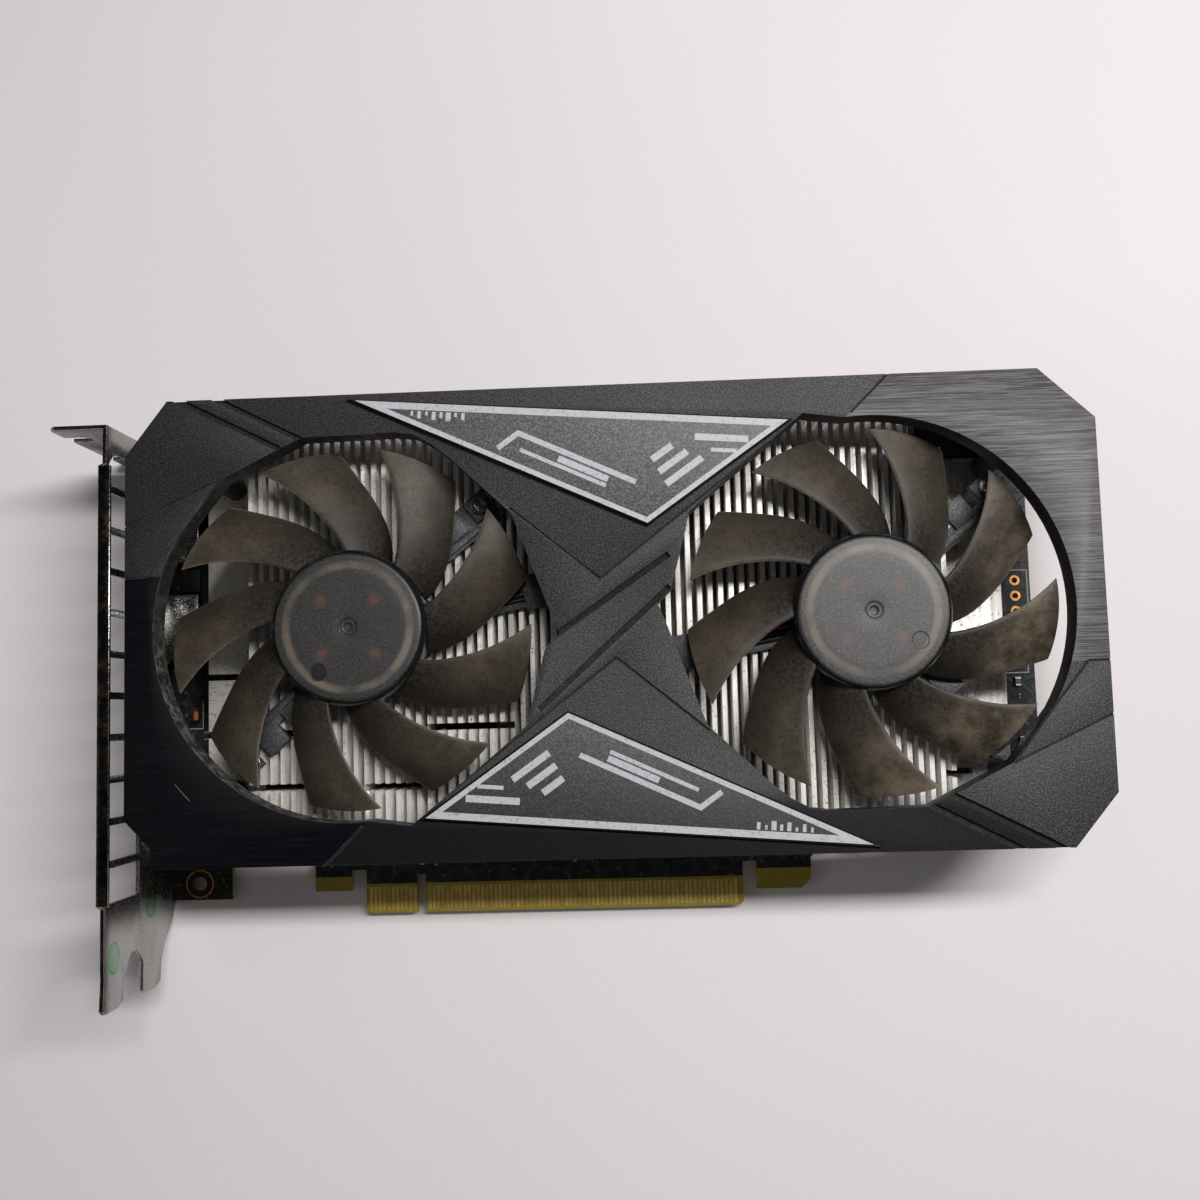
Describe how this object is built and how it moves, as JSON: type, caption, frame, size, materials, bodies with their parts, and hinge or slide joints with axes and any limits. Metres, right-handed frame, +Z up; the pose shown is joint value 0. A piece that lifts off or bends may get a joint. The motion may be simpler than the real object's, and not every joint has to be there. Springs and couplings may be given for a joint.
{
  "type": "graphics card",
  "caption": "Two-slot graphics card with a black faceted shroud, open axial fans over a finned heatsink, slot bracket with vents, and edge connector.",
  "frame": {"origin": "centre of the card's footprint, at the level of the bracket's lower edge, which the card lies on", "axes": "+X along the card away from the slot bracket, +Y from the edge connector to the opposite long edge, +Z up out of the fans"},
  "size_m": [0.2144, 0.1244, 0.0408],
  "materials": {
    "board": "satin solder mask",
    "gold": "gold-plated",
    "package": "satin laminate",
    "silicon": "polished",
    "chip_black": "matt moulding",
    "pad_grey": "soft pad",
    "choke_grey": "pressed powder",
    "can_aluminium": "bright can",
    "socket_black": "moulded",
    "sink_aluminium": "extruded, dusty",
    "screw_steel": "zinc-plated",
    "screw_black": "blackened",
    "shroud_black": "fine moulded grain",
    "badge_grey": "printed insert",
    "blade_smoke": "smoky translucent, dusty",
    "frame_black": "moulded",
    "yoke_steel": "drawn steel",
    "magnet": "bonded magnet",
    "bearing_bronze": "sintered",
    "shaft_steel": "ground",
    "stator_steel": "laminated",
    "copper": "enamelled wire",
    "motor_board": "solder mask",
    "wire": "insulated",
    "header_white": "moulded",
    "bracket_nickel": "nickel-plated sheet",
    "port_steel": "plated shell"
  },
  "bodies": {
    "card": {"back_capacitors": "choke_grey", "bracket": "bracket_nickel", "bracket_screws": "screw_steel", "chokes": "choke_grey", "cooler_screws": "screw_steel", "displayport_lower": "port_steel", "displayport_lower_tongue": "socket_black", "displayport_upper": "port_steel", "displayport_upper_tongue": "socket_black", "edge_contacts": "gold", "fan_headers": "header_white", "fan_left_bearing": "bearing_bronze", "fan_left_cable": "wire", "fan_left_frame": "frame_black", "fan_left_motor_board": "motor_board", "fan_left_screws": "screw_black", "fan_left_stator_coils": "copper", "fan_left_stator_core": "stator_steel", "fan_plugs": "header_white", "fan_right_bearing": "bearing_bronze", "fan_right_cable": "wire", "fan_right_frame": "frame_black", "fan_right_motor_board": "motor_board", "fan_right_screws": "screw_black", "fan_right_stator_coils": "copper", "fan_right_stator_core": "stator_steel", "gpu_die": "silicon", "gpu_package": "package", "hdmi_port": "port_steel", "hdmi_port_tongue": "socket_black", "heatsink": "sink_aluminium", "lower_badge": "badge_grey", "memory_chips": "chip_black", "pcb": "board", "polymer_capacitors": "can_aluminium", "power_pins": "gold", "power_socket": "socket_black", "power_transistors": "chip_black", "shroud": "shroud_black", "shroud_screws": "screw_steel", "small_chips": "chip_black", "thermal_compound": "pad_grey", "thermal_pads": "pad_grey", "upper_badge": "badge_grey"},
    "fan_left_rotor": {"fan_left_impeller": "blade_smoke", "fan_left_rotor_yoke": "yoke_steel", "fan_left_magnet_ring": "magnet", "fan_left_shaft": "shaft_steel"},
    "fan_right_rotor": {"fan_right_impeller": "blade_smoke", "fan_right_rotor_yoke": "yoke_steel", "fan_right_magnet_ring": "magnet", "fan_right_shaft": "shaft_steel"}
  },
  "joints": [
    {"name": "fan_left_spin", "type": "hinge", "parent": "card", "child": "fan_left_rotor", "pos_m": [-0.04544, 0.01431, 0.03], "axis": [0, 0, 1], "continuous": true},
    {"name": "fan_right_spin", "type": "hinge", "parent": "card", "child": "fan_right_rotor", "pos_m": [0.06177, 0.01431, 0.03], "axis": [0, 0, 1], "continuous": true}
  ]
}
